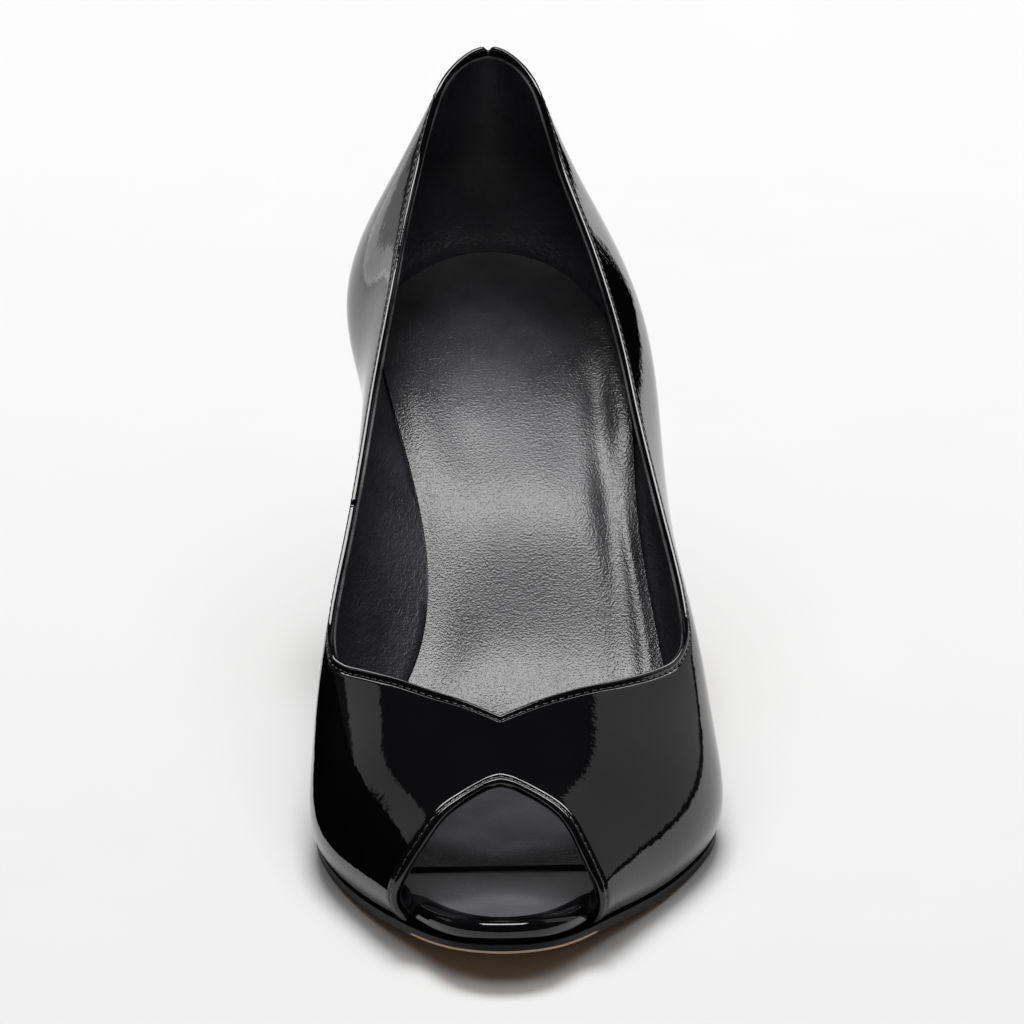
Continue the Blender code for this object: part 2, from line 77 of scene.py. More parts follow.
def closed_spline(knots, points, period):
    """Cubic spline through points at the knots, closed after the period, as a function of u."""
    count = len(knots)
    span = np.append(np.diff(knots), period - knots[-1])
    matrix = np.zeros((count, count))
    right_side = np.zeros(points.shape)
    for i in range(count):
        following = (i + 1) % count
        before, after = span[i - 1], span[i]
        matrix[i, i - 1] += before
        matrix[i, i] += 2 * (before + after)
        matrix[i, following] += after
        right_side[i] = 6 * ((points[following] - points[i]) / after - (points[i] - points[i - 1]) / before)
    bend = np.linalg.solve(matrix, right_side)

    def at(u):
        u = np.asarray(u, float) % period
        i = np.searchsorted(knots, u, side="right") - 1
        j = (i + 1) % count
        width = span[i][..., None]
        done = (u - knots[i])[..., None]
        left = width - done
        curved = (bend[i] * left ** 3 + bend[j] * done ** 3) / (6 * width)
        straight = (points[i] / width - bend[i] * width / 6) * left
        return curved + straight + (points[j] / width - bend[j] * width / 6) * done

    return at


def long_lines():
    """The five lines round the last. u runs from the toe on the inner side to the heel (1) and back (2)."""
    lines = {}
    for sign, half, wall, shoulder in ((-1, "inner", "wall_in", "shoulder_in"),
                                       (1, "outer", "wall_out", "shoulder_out")):
        feather = np.stack([LAST["swing"] + sign * LAST[half], LAST["along"], LAST["rise"]], 1)
        crest = np.stack([LAST["swing"], LAST["crest_at"], LAST["rise"] + LAST["crest_up"]], 1)
        outwards = (feather - crest) * (1, 1, 0)
        outwards /= np.linalg.norm(outwards, axis=1)[:, None]

        def beside(line, distance, up):
            return line + outwards * distance[:, None] + np.outer(up, (0, 0, 1))

        level = np.zeros(len(LAST_ROWS))
        lines[sign] = (feather, beside(feather, LAST[wall], LAST["wall_up"]),
                       beside(feather, LAST[shoulder], LAST["shoulder_up"]),
                       beside(crest, LAST["flat"], level), crest)
    half_width = (LAST["inner"] + LAST["outer"]) / 2
    steps = np.stack([np.diff(LAST["along"]), np.diff(half_width), np.diff(LAST["rise"])])
    share = np.append(0, np.cumsum(np.linalg.norm(steps, axis=0)))
    share /= share[-1]
    knots = np.append(share, 2 - share[-2:0:-1])
    return [closed_spline(knots, np.concatenate([a, b[-2:0:-1]]), 2.0) for a, b in zip(lines[-1], lines[1])]


LINES = long_lines()
FINE_STEPS = 2001
FINE_U = np.linspace(0, 1, FINE_STEPS)
FINE_FEATHER = LINES[0](FINE_U)
NUDGE = 1e-4                       # step in u or v for a tangent
WELD = 1e-6                        # points closer than this are one, metres
SMOOTH_BELOW = 40.0                # edges that turn less than this look round, degrees
EASED_FROM = 50.0                  # edges that turn more than this are eased, degrees
EASE_STEPS = 3
PLATE_FACES = (20, 150)            # across and along


def last_point(u, v):
    """Point of the last: v goes up the rib at u from the feather line (0) to the crest (1)."""
    feather, wall, shoulder, flank, crest = (line(u) for line in LINES)
    middle = (wall + 2 * shoulder + flank) / 4
    v = np.asarray(v, float)[..., None]

    def bezier(a, b, c, d, t):
        return a * (1 - t) ** 3 + 3 * b * t * (1 - t) ** 2 + 3 * c * t ** 2 * (1 - t) + d * t ** 3

    lower = bezier(feather, wall, (wall + shoulder) / 2, middle, 2 * v)
    upper = bezier(middle, (shoulder + flank) / 2, flank, crest, 2 * v - 1)
    return np.where(v < 0.5, lower, upper)


def station(along):
    """u on the inner side at this distance from the toe tip. The outer side has 2 - u."""
    return np.interp(along, FINE_FEATHER[:, 1], FINE_U)


def feather_height(along):
    """Height of the feather line, carried on straight past the toe tip."""
    toe_slope = (LAST["rise"][1] - LAST["rise"][0]) / LAST["along"][1]
    return np.interp(along, FINE_FEATHER[:, 1], FINE_FEATHER[:, 2]) + np.minimum(along, 0) * toe_slope


def monotone(x, y, places):
    """Smooth curve through (x, y) that adds no hump between the rows."""
    x, y = np.asarray(x, float), np.asarray(y, float)
    step = np.diff(x)
    slope = np.diff(y) / step
    tangent = np.concatenate([[slope[0]], np.zeros(len(x) - 2), [slope[-1]]])
    for i in range(1, len(x) - 1):
        if slope[i - 1] * slope[i] > 0:
            first, second = 2 * step[i] + step[i - 1], step[i] + 2 * step[i - 1]
            tangent[i] = (first + second) / (first / slope[i - 1] + second / slope[i])
    places = np.clip(places, x[0], x[-1])
    k = np.clip(np.searchsorted(x, places, side="right") - 1, 0, len(step) - 1)
    t = (places - x[k]) / step[k]
    ends = y[k] * (1 + 2 * t) * (1 - t) ** 2 + y[k + 1] * t ** 2 * (3 - 2 * t)
    return ends + step[k] * t * (1 - t) * (tangent[k] * (1 - t) - tangent[k + 1] * t)


def outline(inset_rows, u):
    """Edge of a plate at u, moved in from the feather line by rows of (along, inner, outer), in plan."""
    u = np.asarray(u, float) % 2
    feather = LINES[0](u)[:, :2]
    rows = np.array(inset_rows)
    inset = np.where(u > 1, monotone(rows[:, 0], rows[:, 2], feather[:, 1]),
                     monotone(rows[:, 0], rows[:, 1], feather[:, 1]))
    tangent = (LINES[0](u + NUDGE) - LINES[0](u - NUDGE))[:, :2]
    inwards = np.stack([tangent[:, 1], -tangent[:, 0]], 1) / np.linalg.norm(tangent, axis=1)[:, None]
    return feather + inwards * inset[:, None]


def plate_plan(inset_rows, ends, round_front, round_back):
    """Fills an outline between its ends: place(t, s) with t from the inner to the outer side and s from front
    to back."""
    front_u, back_u = (station(along) for along in ends)

    def place(t, s):
        def edge(u):
            return outline(inset_rows, u)

        one, zero = np.ones_like(t), np.zeros_like(t)
        t, s = t[:, None], s[:, None]
        inside = front_u + (back_u - front_u) * s[:, 0]
        corners = [edge(u * one) for u in (front_u, 2 - front_u, back_u, 2 - back_u)]
        front_edge = corners[0] * (1 - t) + corners[1] * t
        back_edge = corners[2] * (1 - t) + corners[3] * t
        spread = front_edge * (1 - s) + back_edge * s
        if round_front:
            front_edge = edge(front_u * (1 - 2 * t[:, 0]))
        if round_back:
            back_edge = edge(back_u + 2 * (1 - back_u) * t[:, 0])
        sides = edge(inside) * (1 - t) + edge(2 - inside) * t
        plan = sides + front_edge * (1 - s) + back_edge * s - spread
        return np.column_stack([plan, zero])

    return place


def lasted(name, across, along, place):
    """Flat grid of across by along faces, each point then pulled to place(t, s), millimetres on the last."""
    bpy.ops.object.select_all(action="DESELECT")
    bpy.ops.mesh.primitive_grid_add(x_subdivisions=across, y_subdivisions=along, size=1)
    piece = bpy.context.active_object
    piece.name = piece.data.name = name
    flat = np.zeros(3 * len(piece.data.vertices), np.float32)
    piece.data.vertices.foreach_get("co", flat)
    t, s = flat.reshape(-1, 3)[:, :2].T.astype(float) + 0.5
    points = (place(t, s) - ORIGIN) * MM
    piece.data.vertices.foreach_set("co", points.astype(np.float32).ravel())
    return piece


def close_up(piece, smooth_below=SMOOTH_BELOW):
    """Welds points that meet, caps open ends, turns the faces outwards and smooths all but sharp edges."""
    bpy.ops.object.mode_set(mode="EDIT")
    bpy.ops.mesh.select_all(action="SELECT")
    bpy.ops.mesh.remove_doubles(threshold=WELD)
    bpy.ops.mesh.fill_holes(sides=0)
    bpy.ops.mesh.normals_make_consistent(inside=False)
    bpy.ops.object.mode_set(mode="OBJECT")
    bpy.ops.object.shade_smooth_by_angle(angle=np.radians(smooth_below))


def cut_plate(name, plan, faces, top, under, ease, levels=(0.0,)):
    """Plate with its edge eased: the plan at heights top(along, t), extruded down in steps that end at each
    of the levels above under(along)."""
    def place(t, s):
        points = plan(t, s)
        points[:, 2] = top(points[:, 1], t)
        return points

    piece = lasted(name, *faces, place)
    bpy.ops.object.mode_set(mode="EDIT")
    bpy.ops.mesh.select_all(action="SELECT")
    for level in levels:
        bpy.ops.object.mode_set(mode="EDIT")
        bpy.ops.mesh.extrude_region_move(TRANSFORM_OT_translate={"value": (0, 0, -MM)})
        bpy.ops.object.mode_set(mode="OBJECT")
        count = len(piece.data.vertices)
        points, lower = np.zeros(3 * count, np.float32), np.zeros(count, bool)
        piece.data.vertices.foreach_get("co", points)
        piece.data.vertices.foreach_get("select", lower)
        points = points.reshape(-1, 3)
        points[lower, 2] = (under(points[lower, 1] / MM + ORIGIN[1]) + level) * MM
        piece.data.vertices.foreach_set("co", points.ravel())
    close_up(piece)
    rim = piece.modifiers.new("eased_edge", "BEVEL")
    rim.width = ease * MM
    rim.segments = EASE_STEPS
    rim.limit_method = "ANGLE"
    rim.angle_limit = np.radians(EASED_FROM)
    bpy.ops.object.modifier_apply(modifier=rim.name)
    bpy.ops.object.shade_smooth_by_angle(angle=np.radians(SMOOTH_BELOW))
    return piece


def node(finish, kind, inputs, **settings):
    """Adds a shader node. inputs maps socket names to values, or to the outputs that feed them."""
    made = finish.node_tree.nodes.new("ShaderNode" + kind)
    for name, value in settings.items():
        setattr(made, name, value)
    for name, value in inputs.items():
        if isinstance(value, bpy.types.NodeSocket):
            finish.node_tree.links.new(value, made.inputs[name])
        else:
            made.inputs[name].default_value = value
    return made


def feed(finish, **sources):
    """Links outputs to the Principled shader's sockets, named with _ for a space."""
    shader = finish.node_tree.nodes["Principled BSDF"]
    for name, source in sources.items():
        finish.node_tree.links.new(source, shader.inputs[name.replace("_", " ")])


def new_finish(name, **values):
    """Material with a Principled shader, constants set on its sockets, and its Object coordinates."""
    finish = bpy.data.materials.new(name)
    finish.use_nodes = True
    shader = finish.node_tree.nodes["Principled BSDF"]
    for socket, value in values.items():
        shader.inputs[socket.replace("_", " ")].default_value = value
    return finish, node(finish, "TexCoord", {}).outputs["Object"]


def two_tone(finish, source, dark, light, places=(0.0, 1.0)):
    """Colour from dark to light as the source goes from the first place to the second."""
    ramp = node(finish, "ValToRGB", {"Fac": source})
    for stop, place, colour in zip(ramp.color_ramp.elements, places, (dark, light)):
        stop.position = place
        stop.color = (*colour, 1)
    return ramp.outputs["Color"]


DYE_PLACES = (0.35, 0.68)          # how clouded the leather is where the dye is darkest and lightest
GLOSS_PLACES = (0.3, 0.7)          # and where it is most and least glossy


def leather_finish(name, dark, light, gloss, grain, creases, squeeze=(1, 1, 1), **values):
    """Dyed leather: clouded colour, uneven gloss, pebbled grain and longer creases.

    dark, light: linear colours. gloss: least and most roughness. grain, creases: size and depth, millimetres.
    squeeze: how often the creases repeat along each axis, below 1 for creases drawn out that way.
    """
    finish, place = new_finish(name, **values)
    clouds = node(finish, "TexNoise", {"Vector": place, "Scale": 70.0, "Detail": 5.0, "Roughness": 0.6})
    dye = two_tone(finish, clouds.outputs["Fac"], dark, light, DYE_PLACES)
    uneven = node(finish, "MapRange", {"Value": clouds.outputs["Fac"], "To Min": gloss[0], "To Max": gloss[1],
                                       "From Min": GLOSS_PLACES[0], "From Max": GLOSS_PLACES[1]})
    drawn = node(finish, "VectorMath", {0: place, 1: squeeze}, operation="MULTIPLY").outputs["Vector"]
    waves = node(finish, "TexNoise", {"Vector": drawn, "Scale": 1 / (creases[0] * MM), "Detail": 3.0,
                                      "Roughness": 0.55, "Distortion": 1.2})
    pebbles = node(finish, "TexVoronoi", {"Vector": place, "Scale": 1 / (grain[0] * MM), "Smoothness": 0.6},
                   feature="SMOOTH_F1")
    creased = node(finish, "Bump", {"Height": waves.outputs["Fac"], "Distance": creases[1] * MM})
    grained = node(finish, "Bump", {"Height": pebbles.outputs["Distance"], "Distance": grain[1] * MM,
                                    "Normal": creased.outputs["Normal"]})
    feed(finish, Base_Color=dye, Roughness=uneven.outputs["Result"], Normal=grained.outputs["Normal"])
    return finish


def dress(piece, finish, slot, *nodes):
    """Gives a finished piece its material, attaches it to the root and hides the CAD parts it stands in for.
    """
    piece.data.materials.append(finish)
    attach(piece, "root")
    if nodes:
        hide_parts(*nodes)


def board_top(along):
    """Height of the insole's upper side."""
    rows = np.array(BOARD_THICK)
    return feather_height(along) + GAP + np.interp(along, rows[:, 0], rows[:, 1])


BOARD_INSET = (
    # along, inner, outer
    (0.0, 4.0, 4.0),
    (11.0, 4.1, 4.1),
    (17.5, 4.2, 4.2),
    (19.5, 3.0, 3.0),
    (23.0, 2.5, 2.5),
    (40.0, 2.3, 2.3),
    (HEEL_END, 2.4, 2.4),
)
board = cut_plate("insole_board", plate_plan(BOARD_INSET, BOARD_ENDS, True, True), PLATE_FACES,
                  lambda along, t: board_top(along), lambda along: feather_height(along) + GAP, BOARD_EASE)
# The cover is dark leather like the sock. Its colour is lightened past the sock's and the lining's as painted
# light, making up for the shade the vamp casts on it in the toe opening.
board_cover_painted_light = leather_finish("smooth_cover_leather_painted_light", (0.056, 0.0550, 0.0605), (0.075, 0.0737, 0.0822),
                              (0.32, 0.42), grain=(0.5, 0.02), creases=(4.0, 0.10), Specular_IOR_Level=0.6)
dress(board, board_cover_painted_light, "board", "insole")

# Toe wrap
# A strip of the patent leather over a cord, rolled round the front rim of the insole between the two
# sides of the toe opening. Its rounded ends stop at the folded edge of the upper.
WRAP_HEIGHT = 4.2
WRAP_DEPTH = 3.2
WRAP_BACK = 0.03                   # share of the depth where the flat back of the roll stands
WRAP_ROUND_FROM = 0.35
WRAP_FULL = 0.8                    # power below 1 that fills out the round of the section
WRAP_DROP = 0.6                    # pressed down on the sole's rim
WRAP_ENDS = (17.6, 14.8)           # inner and outer end, from the toe tip
WRAP_END_ROUND = 1.8               # length over which each end is rounded off
WRAP_LEAST = 0.01                  # least share of that length, so each end closes on a small face
WRAP_FLAT = 0.15                   # share of the section that lies flat below, and again above
WRAP_SAMPLES = 401
WRAP_FACES = (90, 40)
ROUND_BELOW = 60.0                 # edges of rolled and folded leather that turn less look round, degrees
WRAP_INSET = (
    # along, inner, outer
    (0.0, 0.2, 0.2),
    (3.0, -0.2, -0.2),
    (9.0, 0.0, 0.0),
    (18.0, 0.9, 0.9),
)


def run_length(points):
    """Distance along a line of points, from its start."""
    return np.append(0, np.cumsum(np.linalg.norm(np.diff(points, axis=0), axis=1)))


def wrap_place(t, s):
    """Point of the roll: t from its inner end round the toe to its outer end, s round its section."""
    inner_end, outer_end = (station(along) for along in WRAP_ENDS)
    path = np.linspace(-outer_end, inner_end, WRAP_SAMPLES)
    path_length = run_length(outline(WRAP_INSET, path))
    u = (inner_end - outer_end) / 2 + (inner_end + outer_end) / 2 * np.cos(np.pi * t)
    done = np.interp(u, path, path_length)
    to_end = np.minimum(done, path_length[-1] - done)
    full = np.sqrt(1 - (1 - np.clip(to_end / WRAP_END_ROUND, WRAP_LEAST, 1)) ** 2)
    front = outline(WRAP_INSET, u)
    back = outline([(along, a + WRAP_DEPTH, b + WRAP_DEPTH) for along, a, b in WRAP_INSET], u)
    turn = np.clip((s - WRAP_FLAT) / (1 - 2 * WRAP_FLAT), 0, 1) * np.pi - np.pi / 2
    flat_share = np.minimum(np.minimum(s, 1 - s) / WRAP_FLAT, 1)
    bulge = np.maximum(np.cos(turn), 0) ** WRAP_FULL
    depth = WRAP_BACK + (WRAP_ROUND_FROM - WRAP_BACK) * flat_share + (1 - WRAP_ROUND_FROM) * bulge
    height = WRAP_HEIGHT * (0.5 + full * np.sin(turn) / 2) - WRAP_DROP
    plan = back + (front - back) * (0.5 + full * (depth - 0.5))[:, None]
    return np.column_stack([plan, feather_height(front[:, 1]) + GAP + height])


PATENT_TONES = ((0.0012, 0.0012, 0.0015), (0.0022, 0.0021, 0.0026))
PATENT_WAVES = (
    # how many to a metre, detail, height
    (75.0, 1.0, 0.10),
    (380.0, 2.0, 0.03),
    (1000.0, 3.0, 0.014),
)


def patent_finish(name):
    """Black lacquered leather: dark skin under a thick clear coat with faint waves and orange-peel."""
    finish, place = new_finish(name, Roughness=0.5, Specular_IOR_Level=0.0, Coat_Weight=1.0,
                               Coat_Roughness=0.02, Coat_IOR=1.55)
    clouds = node(finish, "TexNoise", {"Vector": place, "Scale": 90.0, "Detail": 4.0})
    dye = two_tone(finish, clouds.outputs["Fac"], *PATENT_TONES)
    normal = None
    for scale, detail, rise in PATENT_WAVES:
        swell = node(finish, "TexNoise", {"Vector": place, "Scale": scale, "Detail": detail})
        bump = {"Height": swell.outputs["Fac"], "Distance": rise * MM}
        if normal:
            bump["Normal"] = normal
        normal = node(finish, "Bump", bump).outputs["Normal"]
    feed(finish, Base_Color=dye, Normal=normal, Coat_Normal=normal)
    return finish


patent = patent_finish("black_patent_leather")
wrap = lasted("toe_wrap_roll", *WRAP_FACES, wrap_place)
close_up(wrap, ROUND_BELOW)
dress(wrap, patent, "patent", "toe_wrap")

# Upper
# Vamp and quarters of black patent leather pulled over the last. The edge at the toe opening, the V throat
# and the collar is folded to the inside and sewn down, so it stands as a rounded bead above the stitches.
SKIN = 1.1                         # patent leather with its stiffening
FOLD = 1.9                         # thickness at the folded edge of the toe opening and the throat
THIN_FOLD = 1.2                    # the same at the collar, where the edge is skived
FULL_FROM = (150.0, 190.0)         # along the collar from the back, the edge grows from thin to full
THIN_SHARE = 0.45                  # swelling and sewing's groove of the thin edge, as a share of the full one
FOLD_WIDTH = 3.0
FOLD_STEP = 0.3                    # length over which the turned-in leather ends
FOLD_SHOWN = 2.0                   # from the edge to where the fold lies flat inside
BEAD_RISE = 0.22                   # the folded edge swells out between its rim and the sewing
BEAD_SWELL = 0.6                   # half width of that swelling
STITCH_LINE = 1.9                  # sewing's distance from the edge
STITCH_PULL = 0.42                 # the sewing pulls a groove into the leather
STITCH_GROOVE = 0.45
THROAT_ALONG = 52.0
OPENING_BLEND = 3.0                # length over which the toe's folded edge runs out at the sole
BACK_NOTCH = (1.3, 0.8)            # depth and half width of the notch where the quarters meet at the back
BACK_SEAM = (0.25, 0.45)           # depth and half width of the closed seam down the back
SIDE_SEAM_AT = 126.0               # along the inner collar from the back to the seam of vamp and quarter
SIDE_NOTCH = (0.7, 0.5)            # depth and half width of the nick that the seam leaves in the collar
SIDE_SEAM = (0.10, 0.4)            # depth and half width of the closed seam down the inner side
SEAM_FINE = 5.0                    # stretch beside a seam with close columns
FRONT_COLUMNS = 44
SIDE_COLUMNS = 75                  # to each side of the side seam's stretch
SEAM_COLUMNS = 18
RIB_SAMPLES = 161
EDGE_SAMPLES = 240
OPENING_SAMPLES = 60
BEAD_STEPS = 11
MIDDLE_STEPS = 28                  # up the outside, between the points beside the two edges
INSIDE_STEPS = 12
EDGE_STEPS = (1.2, 1.45, 1.7, 1.9, 2.1, 2.35, 2.65, 3.1, 3.8, 4.8)     # from each edge, closer at the sewing

TOE_OPENING = (
    # share of the way up the rib, then distance from the toe tip on the inner and the outer side
    (0.00, 17.4, 14.4),
    (0.15, 17.9, 14.2),
    (0.30, 17.5, 14.4),
    (0.45, 18.0, 15.6),
    (0.60, 19.6, 18.3),
    (0.75, 23.0, 22.8),
    (0.90, 28.2, 28.2),
    (0.96, 30.2, 30.2),
    (1.00, 30.8, 30.8),
)
COLLAR = (
    # along, then wall length up from the feather line on the inner and the outer side
    (56.0,  54.8, 58.0),
    (61.0,  49.1, 52.3),
    (68.0,  43.6, 44.8),
    (75.5,  38.4, 39.0),
    (82.0,  34.8, 35.6),
    (88.0,  33.2, 34.2),
    (94.0,  33.2, 33.6),
    (104.0, 34.8, 34.0),
    (115.0, 35.8, 33.8),
    (130.0, 35.3, 32.8),
    (150.0, 33.5, 32.4),
    (175.0, 36.8, 37.4),
    (200.0, 45.4, 45.6),
    (214.0, 52.6, 52.2),
    (221.0, 53.2, 53.2),
)


def on_side(side, u):
    """u of a station, on the inner side (0) or the outer side (1)."""
    return u if side == 0 else 2 - u


def rib_length(side, along):
    """Heights v up the rib, and the wall length reached at each."""
    v = np.linspace(0, 1, RIB_SAMPLES)
    return v, run_length(last_point(np.full_like(v, on_side(side, station(along))), v))


def lower_edge(side):
    """Edge from the point of the toe opening to the sole and back along the feather line, as (u, v)."""
    rows = np.array(TOE_OPENING)
    shares = np.linspace(1, 0, OPENING_SAMPLES)
    opening = []
    for share, along in zip(shares, monotone(rows[:, 0], rows[:, 1 + side], shares)):
        v, length = rib_length(side, along)
        opening.append((station(along), np.interp(share * length[-1], length, v)))
    feather = [(u, 0.0) for u in np.linspace(opening[-1][0], 1, EDGE_SAMPLES)[1:]]
    return np.array(opening + feather)


def upper_edge(side):
    """Edge from the point of the V along the throat and the collar to the back, as (u, v)."""
    rows = np.array(COLLAR)
    along = np.append(THROAT_ALONG, rows[:, 0])
    girth = np.append(rib_length(side, THROAT_ALONG)[1][-1], rows[:, 1 + side])
    places = np.linspace(THROAT_ALONG, HEEL_END, EDGE_SAMPLES)
    edge = []
    for place, reach in zip(places, monotone(along, girth, places)):
        v, length = rib_length(side, place)
        edge.append((station(place), np.interp(reach, length, v)))
    return np.array(edge)


def last_normal(u, v):
    """Outward normal of the last."""
    ahead = last_point(u + NUDGE, v) - last_point(u - NUDGE, v)
    up = last_point(u, np.minimum(v + NUDGE, 1)) - last_point(u, np.maximum(v - NUDGE, 0))
    normal = np.cross(up, ahead)
    return normal / np.linalg.norm(normal, axis=-1)[..., None]


def wall_columns(side):
    """Columns of the wall from the lower to the upper edge, front to back, each with its points, normals,
    wall lengths, share of toe opening (1) against sole (0), and collar distances to the two seams."""
    lower, upper = lower_edge(side), upper_edge(side)
    lower_length = run_length(last_point(on_side(side, lower[:, 0]), lower[:, 1]))
    upper_length = run_length(last_point(on_side(side, upper[:, 0]), upper[:, 1]))
    corner = lower_length[OPENING_SAMPLES - 1] / lower_length[-1]
    back, before_seam, after_seam = (1 - d / upper_length[-1] for d in
                                     (SEAM_FINE, SIDE_SEAM_AT + SEAM_FINE / 2, SIDE_SEAM_AT - SEAM_FINE / 2))
    shares = np.concatenate([np.linspace(0, corner, FRONT_COLUMNS + 1),
                             np.linspace(corner, before_seam, SIDE_COLUMNS + 1)[1:],
                             np.linspace(before_seam, after_seam, SEAM_COLUMNS + 1)[1:],
                             np.linspace(after_seam, back, SIDE_COLUMNS + 1)[1:],
                             np.linspace(back, 1, SEAM_COLUMNS + 1)[1:]])
    blend = np.linspace(0, 1, RIB_SAMPLES)
    columns = []
    for share in shares:
        start = [np.interp(share * lower_length[-1], lower_length, lower[:, k]) for k in (0, 1)]
        end = [np.interp(share * upper_length[-1], upper_length, upper[:, k]) for k in (0, 1)]
        u = on_side(side, start[0] + (end[0] - start[0]) * blend)
        v = start[1] + (end[1] - start[1]) * blend
        points = last_point(u, v)
        past_corner = (share - corner) * lower_length[-1] / OPENING_BLEND
        from_back = (1 - share) * upper_length[-1]
        columns.append({"points": points, "normals": last_normal(u, v), "length": run_length(points),
                        "toe": float(np.clip(0.5 - past_corner, 0, 1)), "from_back": from_back,
                        "from_side": from_back - SIDE_SEAM_AT if side == 0 else upper_length[-1]})
    return columns


def on_wall(column, reach, depth):
    """Points at wall lengths reach up a column, moved inwards by depth."""
    base, normal = (np.stack([np.interp(reach, column["length"], column[k][:, i]) for i in range(3)], 1)
                    for k in ("points", "normals"))
    normal /= np.linalg.norm(normal, axis=1)[:, None]
    return base - normal * np.asarray(depth)[:, None]


def bell(x, half_width):
    """Smooth bump: 1 at zero, and fading to nothing within about two half widths."""
    return np.exp(-(x / half_width) ** 2)


def smooth_step(x, start, end):
    """0 before the start, 1 after the end, and smooth between."""
    share = np.clip((x - start) / (end - start), 0, 1)
    return share * share * (3 - 2 * share)


def fullness(column):
    """0 at the thin edge of the collar to 1 at the full edge of the throat."""
    return smooth_step(column["from_back"], *FULL_FROM)


def edge_strength(column):
    """Share of the full swelling and groove that the edge has at the top of a column."""
    return THIN_SHARE + (1 - THIN_SHARE) * fullness(column)


def high_fold(column):
    """Thickness of the folded edge at the top of a column."""
    return THIN_FOLD + (FOLD - THIN_FOLD) * fullness(column)


def skin_section(column):
    """Section of the skin as points: round the lower edge, up the outside, over the bead and down inside."""
    toe = column["toe"]
    top = (column["length"][-1] - BACK_NOTCH[0] * bell(column["from_back"], BACK_NOTCH[1])
           - SIDE_NOTCH[0] * bell(column["from_side"], SIDE_NOTCH[1]))
    turn = np.linspace(0, np.pi, BEAD_STEPS)
    near_edge = np.array(EDGE_STEPS)
    middle = np.linspace(near_edge[-1], top - near_edge[-1], MIDDLE_STEPS)[1:-1]
    low_fold = SKIN + (FOLD - SKIN) * toe
    top_fold = high_fold(column)
    low_bead, high_bead = low_fold / 2, top_fold / 2
    outside = np.concatenate([near_edge, middle, top - near_edge[::-1]])
    strength = edge_strength(column)
    groove = (strength * bell(top - outside - STITCH_LINE, STITCH_GROOVE)
              + toe * bell(outside - STITCH_LINE, STITCH_GROOVE))
    swell = (strength * bell(top - outside - high_bead, BEAD_SWELL)
             + toe * bell(outside - low_bead, BEAD_SWELL))
    seam = (BACK_SEAM[0] * bell(column["from_back"], BACK_SEAM[1])
            + SIDE_SEAM[0] * bell(column["from_side"], SIDE_SEAM[1]))
    inside = np.linspace(top - FOLD_WIDTH - FOLD_STEP, FOLD_WIDTH + FOLD_STEP, INSIDE_STEPS)
    fading = BEAD_RISE * (1 + np.cos(turn)) / 2
    parts = (
        (toe * low_bead * (1 - np.sin(turn)), low_bead * (1 + np.cos(turn)) - toe * fading[::-1]),
        (outside, STITCH_PULL * groove + seam - BEAD_RISE * swell),
        (top - high_bead * (1 - np.sin(turn)), high_bead * (1 - np.cos(turn)) - strength * fading),
        ([top - FOLD_SHOWN, top - FOLD_WIDTH], [top_fold, top_fold]),
        (inside, np.full(INSIDE_STEPS, SKIN)),
        ([FOLD_WIDTH, FOLD_SHOWN, toe * low_bead], [low_fold, low_fold, low_fold]),
    )
    return on_wall(column, np.concatenate([p[0] for p in parts]), np.concatenate([p[1] for p in parts]))


wall_inner, wall_outer = wall_columns(0), wall_columns(1)
WALL = wall_inner + wall_outer[-2::-1]      # once round the shoe, from the front and back to it


def round_shoe(name, section):
    """Closed shell round the shoe from each column's section, whose last point meets its first."""
    table = np.array([section(column) for column in WALL])
    rings, steps = table.shape[0] - 1, table.shape[1] - 1

    def place(t, s):
        return table[np.rint(t * rings).astype(int), np.rint(s * steps).astype(int)]

    piece = lasted(name, rings, steps, place)
    close_up(piece, ROUND_BELOW)
    return piece


upper = round_shoe("patent_upper", skin_section)
dress(upper, patent, "patent", "upper")

# Edge stitching
# One row of black thread beside the folded edge: round the V throat and the collar, and round the toe
# opening. Each stitch is a short rounded length that lies in the groove it has pulled.
STITCH_PITCH = 2.0
STITCH_SIZE = (0.78, 0.22, 0.18)   # half length, half width, half height
STITCH_LIFT = 0.14
STITCH_SIDES = 8
STITCH_RINGS = 6
STITCH_BESIDE = 0.5                # distance to each side at which the row's direction is read


